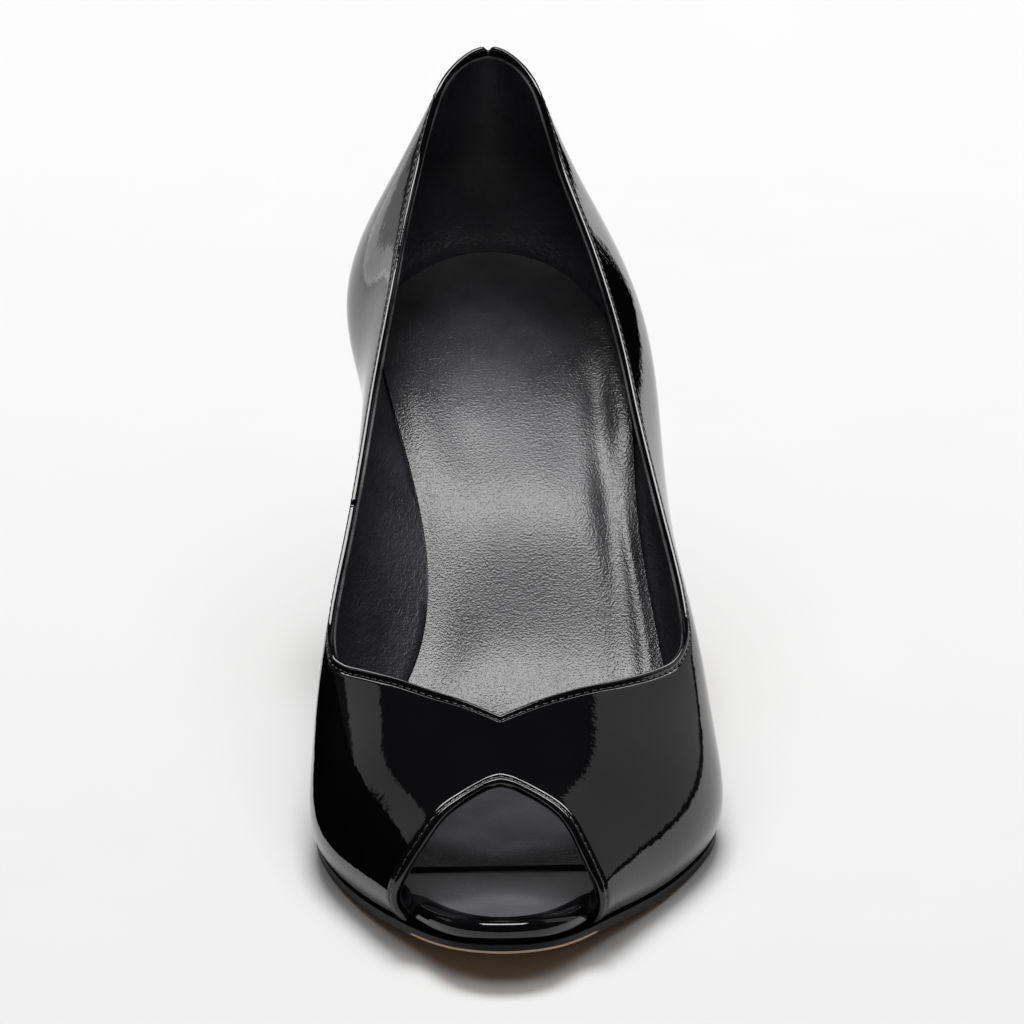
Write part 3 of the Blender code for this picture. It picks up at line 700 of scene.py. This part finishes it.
def stitch_row(name, columns, reach_of, pull_of):
    """Stitches at even steps along the wall line at reach_of(column), sunk in by pull_of(column)."""
    places = [(column, reach_of(column), pull_of(column)) for column in columns]
    line = np.array([on_wall(c, [r], [pull])[0] for c, r, pull in places])
    out = np.array([on_wall(c, [r], [pull - 1])[0] for c, r, pull in places]) - line
    length = run_length(line)
    count = int(length[-1] / STITCH_PITCH)
    bpy.ops.object.select_all(action="DESELECT")
    bpy.ops.mesh.primitive_uv_sphere_add(segments=STITCH_SIDES, ring_count=STITCH_RINGS, radius=1)
    stitch = bpy.context.active_object
    stitch.scale = STITCH_SIZE
    bpy.ops.object.transform_apply(location=False, rotation=False, scale=True)
    copies = []
    for number in range(count):
        place = (number + 0.5) * length[-1] / count
        middle, before, after, up = (np.array([np.interp(place + d, length, what[:, i]) for i in range(3)])
                                     for what, d in ((line, 0), (line, -STITCH_BESIDE),
                                                     (line, STITCH_BESIDE), (out, 0)))
        along = (after - before) / np.linalg.norm(after - before)
        up = up - along * np.dot(up, along)
        up /= np.linalg.norm(up)
        axes = np.stack([along, np.cross(up, along), up], 1) * MM
        centre = (middle + up * STITCH_LIFT - ORIGIN) * MM
        copy = stitch.copy()
        copy.data = stitch.data.copy()
        copy.data.transform(Matrix.LocRotScale(Vector(centre), None, None) @ Matrix(axes.tolist()).to_4x4())
        bpy.context.scene.collection.objects.link(copy)
        copies.append(copy)
    bpy.data.objects.remove(stitch, do_unlink=True)
    bpy.ops.object.select_all(action="DESELECT")
    for copy in copies:
        copy.select_set(True)
    bpy.context.view_layer.objects.active = copies[0]
    bpy.ops.object.join()
    row = bpy.context.active_object
    row.name = row.data.name = name
    bpy.ops.object.shade_smooth()
    return row


# The thread is black. Its colour is lightened as a painted glint, standing in for the light the stitches
# catch from above.
thread = leather_finish("black_waxed_thread_painted_glint", (0.018, 0.018, 0.019), (0.055, 0.054, 0.057), (0.24, 0.36),
                        grain=(0.25, 0.02), creases=(0.6, 0.02), Specular_IOR_Level=0.7)
collar_row = stitch_row("collar_stitches", WALL, lambda c: c["length"][-1] - STITCH_LINE,
                        lambda c: STITCH_PULL * edge_strength(c))
dress(collar_row, thread, "patent")
front = [c for c in WALL if c["toe"] == 1]
half = len(front) // 2
toe_row = stitch_row("toe_opening_stitches", front[half:] + front[:half], lambda c: STITCH_LINE,
                     lambda c: STITCH_PULL)
dress(toe_row, thread, "patent")

# Lining
# Thin dark leather inside the upper, down to the sock, with faint creases. It is cut raw and glued over the
# folded edge, so its cut edge shows as a paler line inside the collar.
LINING = 0.5
LINING_EDGE = 1.3                  # raw edge's distance from the folded edge
BACK_DIP = (1.2, 8.0)              # the raw edge lies deeper at the back: depth and half width
LINING_CLEAR = 0.03
FOOT_RISE = 1.3                    # height over the insole at which the lining's foot meets the sock
FOOT_SPAN = 20.0                   # wall length over which the lining stands off towards its foot
FOOT_HINGE = 0.5                   # share of that length up to which it is pulled straight
FOOT_MOST = 0.7                    # share of the wall that the stretch towards the foot may take
CLIMB_FROM = 1.4                   # distance from the raw edge at which it climbs the folded edge
CLIMB_OVER = 0.8                   # length of that climb
LINING_STEPS = 26
FOOT_STEPS = 10
TOP_STEPS = (2.5, 1.5, 0.9, 0.4, 0.0)      # from the raw edge, closer over the climb
RAW_EDGE = 0.36                    # half width of the fuzzy cut edge
RAW_EDGE_STEPS = 9
FOOT_INSET = (
    # along, inner, outer
    (14.0, 1.6, 1.6),
    (21.0, 1.9, 1.9),
    (33.0, 2.8, 2.8),
    (80.0, 2.6, 2.6),
    (118.0, 2.4, 2.3),
    (175.0, 2.4, 2.5),
    (HEEL_END, 2.8, 2.8),
)


def lining_top(column):
    """Wall length at which the raw edge lies."""
    return column["length"][-1] - LINING_EDGE - BACK_DIP[0] * bell(column["from_back"], BACK_DIP[1])


def lining_glue(column, reach):
    """Depth of the lining's glued side: it lies on the skin and climbs over the folded edges."""
    top = lining_top(column)
    over_top = np.clip((reach - (top - CLIMB_FROM)) / CLIMB_OVER, 0, 1)
    over_toe = column["toe"] * np.clip((LINING_EDGE + CLIMB_FROM - reach) / CLIMB_OVER, 0, 1)
    climb = np.maximum((high_fold(column) - SKIN) * over_top, (FOLD - SKIN) * over_toe)
    return SKIN + LINING_CLEAR + climb


def lining_section(column):
    """Section of the lining as points: up its glued side, down its shown side and back to the start."""
    toe = column["toe"]
    top = lining_top(column)
    start = column["points"][0]
    side = 1 if start[0] > np.interp(start[1], LAST["along"], LAST["swing"]) else 0
    foot_plan = outline(FOOT_INSET, [on_side(side, station(start[1]))])[0]
    foot = np.append(foot_plan, board_top(start[1]) + FOOT_RISE)
    corner = np.interp(foot[2], column["points"][:, 2], column["length"])
    bend = min(corner + FOOT_SPAN, FOOT_MOST * top)
    reach = np.append(np.linspace(bend, top - TOP_STEPS[0], LINING_STEPS), top - np.array(TOP_STEPS[1:]))
    turned = np.linspace(0, 1, FOOT_STEPS)[:, None]
    low_reach = LINING_EDGE + (bend - LINING_EDGE) * turned[:, 0]
    sides = []
    for extra, drop in ((0.0, LINING), (LINING, 0.0)):
        up = on_wall(column, reach, lining_glue(column, reach) + extra)
        end = foot - (0, 0, drop)
        hinge = on_wall(column, [corner + FOOT_HINGE * (bend - corner)], [SKIN + LINING_CLEAR + extra])[0]
        curve = end * (1 - turned) ** 2 + 2 * hinge * turned * (1 - turned) + up[0] * turned ** 2
        straight = on_wall(column, low_reach, lining_glue(column, low_reach) + extra)
        sides.append(np.concatenate([curve * (1 - toe) + straight * toe, up[1:]]))
    return np.concatenate([sides[0], sides[1][::-1], sides[0][:1]])


def raw_edge_section(column):
    """Section of the lining's cut edge, a thin fuzzy cord."""
    reach = lining_top(column)
    turn = np.linspace(0, 2 * np.pi, RAW_EDGE_STEPS)
    middle = lining_glue(column, reach) + LINING / 2
    return on_wall(column, reach + RAW_EDGE * np.sin(turn), middle + RAW_EDGE * np.cos(turn))


lining = round_shoe("leather_lining", lining_section)
lining_finish = leather_finish("dark_lining_leather", (0.019, 0.0186, 0.0232), (0.029, 0.0284, 0.0345),
                               (0.42, 0.55), grain=(0.45, 0.04), creases=(1.0, 0.22), squeeze=(1, 0.3, 1),
                               Specular_IOR_Level=0.6)
dress(lining, lining_finish, "board")
raw_edge = round_shoe("lining_raw_edge", raw_edge_section)
raw_finish = leather_finish("cut_leather_fibre", (0.012, 0.012, 0.014), (0.180, 0.174, 0.178), (0.7, 0.9),
                            grain=(0.3, 0.10), creases=(0.6, 0.12))
dress(raw_edge, raw_finish, "board")

# Outsole
# Thin leather sole glued under the lasted upper, from the toe to the breast of the heel. Its edge is inked
# black and polished, and the bottom is natural tan leather.
SOLE_THICK = 1.8
SOLE_END = 172.0
SOLE_ENDS = (7.0, SOLE_END)        # where the round of the toe ends, and the straight end at the heel
UNDERSIDE = -0.5                   # faces whose normal points down more than this are the bottom
TAN_LIP = 0.5                      # height of the edge's lowest part
TAN_UNTIL = 15.0                   # this far from the toe tip the lowest part of the edge is tan
SOLE_EASE = 0.3
SOLE_INSET = (
    # along, inner, outer
    (0.0, -0.5, -0.5),
    (80.0, -0.5, -0.5),
    (100.0, 0.0, -0.3),
    (125.0, 0.8, 0.6),
    (150.0, 0.9, 0.8),
    (SOLE_END, 0.8, 0.8),
)


def sole_top(along):
    """Height of the sole's upper side, with the tread flat on the floor."""
    return np.maximum(feather_height(along) - GAP, SOLE_THICK)


sole = cut_plate("leather_sole", plate_plan(SOLE_INSET, SOLE_ENDS, True, False), PLATE_FACES,
                 lambda along, t: sole_top(along), lambda along: sole_top(along) - SOLE_THICK, SOLE_EASE,
                 (TAN_LIP, 0.0))
ink = leather_finish("black_edge_ink", (0.002, 0.002, 0.0023), (0.004, 0.0039, 0.0044), (0.30, 0.42),
                     grain=(0.3, 0.015), creases=(1.5, 0.03), Specular_IOR_Level=0.15)
tan = leather_finish("tan_sole_leather", (0.42, 0.26, 0.145), (0.55, 0.36, 0.215), (0.42, 0.56),
                     grain=(0.35, 0.02), creases=(4.0, 0.03))
dress(sole, ink, "sole_leather", "outsole")
sole.data.materials.append(tan)
# Faces of the bottom, and of the edge's lowest part near the toe tip, are tan.
for face in sole.data.polygons:
    along = face.center.y / MM + ORIGIN[1]
    tan_toe_lip = along < TAN_UNTIL and face.center.z / MM < sole_top(along) - SOLE_THICK + TAN_LIP
    face.material_index = int(tan_toe_lip or face.normal.z < UNDERSIDE)

# Heel
# Slim heel block, moulded and covered in the patent leather of the upper, nailed through the insole from
# inside. Its top is hollowed to the seat of the upper, and its straight breast meets the end of the sole.
HEEL_FRONT = SOLE_END + GAP
TOP_PIECE_THICK = 5.5
TOP_PIECE_EASE = 0.7
HEEL_ROUND = 2.6                   # power of the round of the heel's outline below the seat
HEEL_STATIONS = 60
HEEL_LEVELS = 48
HEEL_COLUMNS = ("share", "front", "back", "half")
HEEL_ROWS = (
    # share of the height, front and back from the toe tip, half width
    (0.00, 198.5, 215.5,  8.0),
    (0.20, 198.0, 215.5,  8.6),
    (0.40, 196.0, 216.0, 10.3),
    (0.60, 192.0, 217.2, 13.4),
    (0.78, 186.0, 219.2, 18.0),
    (0.90, 180.0, 220.6, 23.0),
    (1.00, HEEL_FRONT, HEEL_END, 28.4),
)
HEEL = dict(zip(HEEL_COLUMNS, np.array(HEEL_ROWS).T))


def heel_ring(share, floor, shrink):
    """Outline of the heel at a share of its height: inner side front to back, outer side back to front."""
    even = np.linspace(0, 1, HEEL_STATIONS)
    eased = (even + (1 - np.cos(np.pi * even)) / 2) / 2
    u = station(HEEL_FRONT) + (1 - station(HEEL_FRONT)) * eased
    seat = [LINES[0](u), LINES[0](2 - u)]
    front, back, half = (monotone(HEEL["share"], HEEL[k], np.array([share]))[0]
                         for k in ("front", "back", "half"))
    t = np.clip((seat[0][:, 1] - seat[0][0, 1]) / (HEEL_END - seat[0][0, 1]), 0, 1)
    rounded = (1 - t ** HEEL_ROUND) ** (1 / HEEL_ROUND)
    middle = (seat[0][:, 0] + seat[1][:, 0]) / 2
    height = floor + (seat[0][:, 2] - GAP - floor) * share
    sides = []
    for sign, line in ((-1, seat[0]), (1, seat[1])):
        own = sign * (line[:, 0] - middle) / HEEL["half"][-1]
        width = rounded + (own - rounded) * share ** 2
        across = middle + sign * width * (half - shrink)
        along = front + shrink + (back - front - 2 * shrink) * t
        sides.append(np.column_stack([across, along, height]))
    inner, outer = sides
    return np.concatenate([inner, outer[-2::-1], inner[:1]])


def heel_stack(name, rings):
    """Closed block from rings, lowest first, with its ends capped."""
    table = np.array(rings)
    levels, steps = table.shape[0] - 1, table.shape[1] - 1

    def place(t, s):
        return table[np.rint(s * levels).astype(int), np.rint(t * steps).astype(int)]

    piece = lasted(name, steps, levels, place)
    close_up(piece)
    return piece


heel = heel_stack("covered_heel", [heel_ring(share, TOP_PIECE_THICK + GAP, 0.0)
                                   for share in np.linspace(0, 1, HEEL_LEVELS)])
dress(heel, patent, "patent", "heel")

# Top piece
# Wearing piece of black rubber, cut to the foot of the heel and nailed under it. Its lower edge is worn a
# little round.
TOP_PIECE_LEVELS = (
    # height, how far the edge is drawn in
    (0.0, TOP_PIECE_EASE),
    (0.2 * TOP_PIECE_EASE, 0.3 * TOP_PIECE_EASE),
    (TOP_PIECE_EASE, 0.0),
    (TOP_PIECE_THICK, 0.0),
)
top_piece = heel_stack("rubber_top_piece", [heel_ring(0.0, level, shrink)
                                            for level, shrink in TOP_PIECE_LEVELS])
rubber = leather_finish("black_rubber", (0.011, 0.011, 0.011), (0.018, 0.018, 0.018), (0.55, 0.70),
                        grain=(0.3, 0.02), creases=(2.0, 0.04))
dress(top_piece, rubber, "rubber", "top_piece")

# Sock
# Padded leather sock glued on the insole from heel to toes, cut in along the arch. Its fine grain has a
# silvery sheen, and near the outer edge it is creased lengthways where it climbs the lining.
SOCK_THICK = 1.4
SOCK_FRONT_THICK = 0.7             # the front edge is thinned
SOCK_FRONT = 33.0
SOCK_THINNING = 20.0               # length over which it is thinned
SOCK_ENDS = (SOCK_FRONT, 206.0)    # the straight front edge, and where the round of the heel begins
SOCK_EASE = 0.35
SOCK_FACES = (70, 190)
FOLD_FADE = 15.0                   # length over which a fold runs out at each end
SOCK_INSET = (
    # along, inner, outer
    (SOCK_FRONT, 3.0, 3.0),
    (80.0, 2.8, 2.8),
    (118.0, 2.6, 2.5),
    (175.0, 2.6, 2.7),
    (HEEL_END, 3.0, 3.0),
)
SOCK_FOLDS = (
    # place across (0 inner, 1 outer), half width, height, then where it starts and ends along
    (0.10, 0.09, 0.40, 95.0, 185.0),
    (0.30, 0.09, -0.40, 92.0, 170.0),
    (0.52, 0.11, 0.35, 100.0, 190.0),
    (0.83, 0.07, -0.60, 94.0, 184.0),
    (0.92, 0.04, 0.35, 98.0, 150.0),
    (1.00, 0.15, 1.60, 148.0, 206.0),
)
SOCK_SWELLS = (
    # place across and along, half width across, half length, height
    (0.36, 143.0, 0.26, 14.0, 1.20),
    (0.66, 143.0, 0.16, 13.0, 0.80),
    (0.36, 117.0, 0.30, 9.0, -0.55),
    (0.78, 117.0, 0.12, 9.0, -0.30),
)


def sock_top(along, t):
    """Top of the sock: thinned to the front, with lengthwise folds, swells and shallow dents."""
    filled = smooth_step(along, SOCK_FRONT, SOCK_FRONT + SOCK_THINNING)
    thick = SOCK_FRONT_THICK + (SOCK_THICK - SOCK_FRONT_THICK) * filled
    height = board_top(along) + GAP + thick
    for across, half_width, rise, start, end in SOCK_FOLDS:
        fade = smooth_step(along, start, start + FOLD_FADE) * (1 - smooth_step(along, end - FOLD_FADE, end))
        height = height + rise * fade * bell(t - across, half_width)
    for across, place, half_width, half_length, rise in SOCK_SWELLS:
        height = height + rise * bell(t - across, half_width) * bell(along - place, half_length)
    return height


sock = cut_plate("leather_sock", plate_plan(SOCK_INSET, SOCK_ENDS, False, True), SOCK_FACES,
                 sock_top, lambda along: board_top(along) + GAP, SOCK_EASE)
sock_finish = leather_finish("grained_sock_leather", (0.027, 0.0264, 0.0292), (0.042, 0.0413, 0.0450),
                             (0.15, 0.22), grain=(0.42, 0.045), creases=(0.75, 0.042),
                             Specular_IOR_Level=0.42)
dress(sock, sock_finish, "sock_leather", "sock")

# Floor, light and camera
# A white table lit from behind and above. The gloss mirrors a softbox overhead, bright panels behind, dim
# panels to both sides, and two black boards beside the shoe. Seen with a long lens.
FLOOR_SIZE = 9.0
FLOOR_WHITES = ((0.575, 0.575, 0.575), (0.590, 0.590, 0.590))
STUDIO_DIM = (0.03, 0.03, 0.032)   # what little light comes from the rest of the room
SHOE_MIDDLE = Vector((0, 0, 0.05))
SOFTBOXES = (
    # name, azimuth from the back to the outer side, height angle, distance, width, height, radiance,
    # whether the gloss mirrors it, whether it lights matt surfaces
    ("overhead_softbox", 0.0, 87.0, 1.2, 0.85, 0.42, 11.5, True, False),
    ("back_panel", 0.0, 22.0, 2.2, 1.7, 0.9, 3.2, True, False),
    ("back_wall", -9.0, 1.0, 2.2, 2.8, 0.24, 1.2, True, False),
    ("back_wall_top", -9.0, 7.0, 2.2, 2.6, 0.22, 0.6, True, False),
    ("outer_panel", 53.0, 25.0, 2.2, 1.7, 1.86, 0.36, True, True),
    ("inner_panel", -51.0, 24.5, 2.2, 0.86, 0.72, 0.36, True, True),
    ("key_light", 0.0, 64.0, 3.6, 1.5, 1.05, 29.0, False, True),
    ("ceiling_fill", 0.0, 89.0, 2.4, 3.0, 3.0, 1.7, False, True),
)
FLAGS = (
    # name, middle, length, height, turn: black boards that only the gloss shows
    ("inner_flag", (-0.060, -0.025, 0.018), 0.11, 0.036, 90.0),
    ("back_flag", (0.324, 0.494, 0.14), 0.19, 0.28, -37.0),
)
FLAG_THICK = 0.002
CAMERA_PLACE = Vector((-0.0472, -1.5613, 0.6863))
CAMERA_DROP = 22.0                 # degrees below the horizon
CAMERA_TURN = 1.62                 # degrees to the right, to have the shoe in the middle
CAMERA_REACH = 50.0                # nothing further off is drawn, metres
FOCAL_PIXELS = 8080.0
FRAME_PIXELS = 1024.0
SENSOR = 36.0

bpy.ops.object.select_all(action="DESELECT")
bpy.ops.mesh.primitive_plane_add(size=FLOOR_SIZE)
floor = bpy.context.active_object
floor.name = floor.data.name = "floor"
floor_finish, place = new_finish("white_table", Roughness=0.6, Specular_IOR_Level=0.0)
speckle = node(floor_finish, "TexNoise", {"Vector": place, "Scale": 30.0, "Detail": 2.0})
feed(floor_finish, Base_Color=two_tone(floor_finish, speckle.outputs["Fac"], *FLOOR_WHITES))
floor.data.materials.append(floor_finish)

for name, azimuth, elevation, distance, width, height, radiance, mirrored, lighting in SOFTBOXES:
    turn, lift = np.radians(azimuth), np.radians(elevation)
    away = Vector((np.sin(turn) * np.cos(lift), np.cos(turn) * np.cos(lift), np.sin(lift)))
    bpy.ops.object.light_add(type="AREA", location=SHOE_MIDDLE + away * distance)
    softbox = bpy.context.active_object
    softbox.name = softbox.data.name = name
    softbox.rotation_euler = (-away).to_track_quat("-Z", "Y").to_euler()
    softbox.data.shape = "RECTANGLE"
    softbox.data.size = width
    softbox.data.size_y = height
    softbox.data.energy = radiance * np.pi * width * height
    softbox.visible_camera = False
    softbox.visible_glossy = mirrored
    softbox.visible_diffuse = lighting

flag_black = new_finish("black_felt", Base_Color=(0.001, 0.001, 0.001, 1), Specular_IOR_Level=0.0)[0]
for name, middle, length, height, turn in FLAGS:
    bpy.ops.mesh.primitive_cube_add(size=1, location=middle, rotation=(0, 0, np.radians(turn)),
                                    scale=(length, FLAG_THICK, height))
    bpy.ops.object.transform_apply(location=True, rotation=True, scale=True)
    flag = bpy.context.active_object
    flag.name = flag.data.name = name
    flag.data.materials.append(flag_black)
    flag.visible_camera = flag.visible_diffuse = flag.visible_shadow = False

world = bpy.data.worlds.new("studio")
world.use_nodes = True
world.node_tree.nodes["Background"].inputs["Color"].default_value = (*STUDIO_DIM, 1)
bpy.context.scene.world = world
bpy.context.scene.view_settings.view_transform = "Standard"

drop, turn = np.radians(CAMERA_DROP), np.radians(CAMERA_TURN)
sight = Vector((np.tan(turn), np.cos(drop), -np.sin(drop)))
bpy.ops.object.camera_add(location=CAMERA_PLACE, rotation=sight.to_track_quat("-Z", "Y").to_euler())
camera = bpy.context.active_object
camera.data.sensor_width = SENSOR
camera.data.lens = FOCAL_PIXELS / FRAME_PIXELS * SENSOR
camera.data.clip_end = CAMERA_REACH
bpy.context.scene.camera = camera
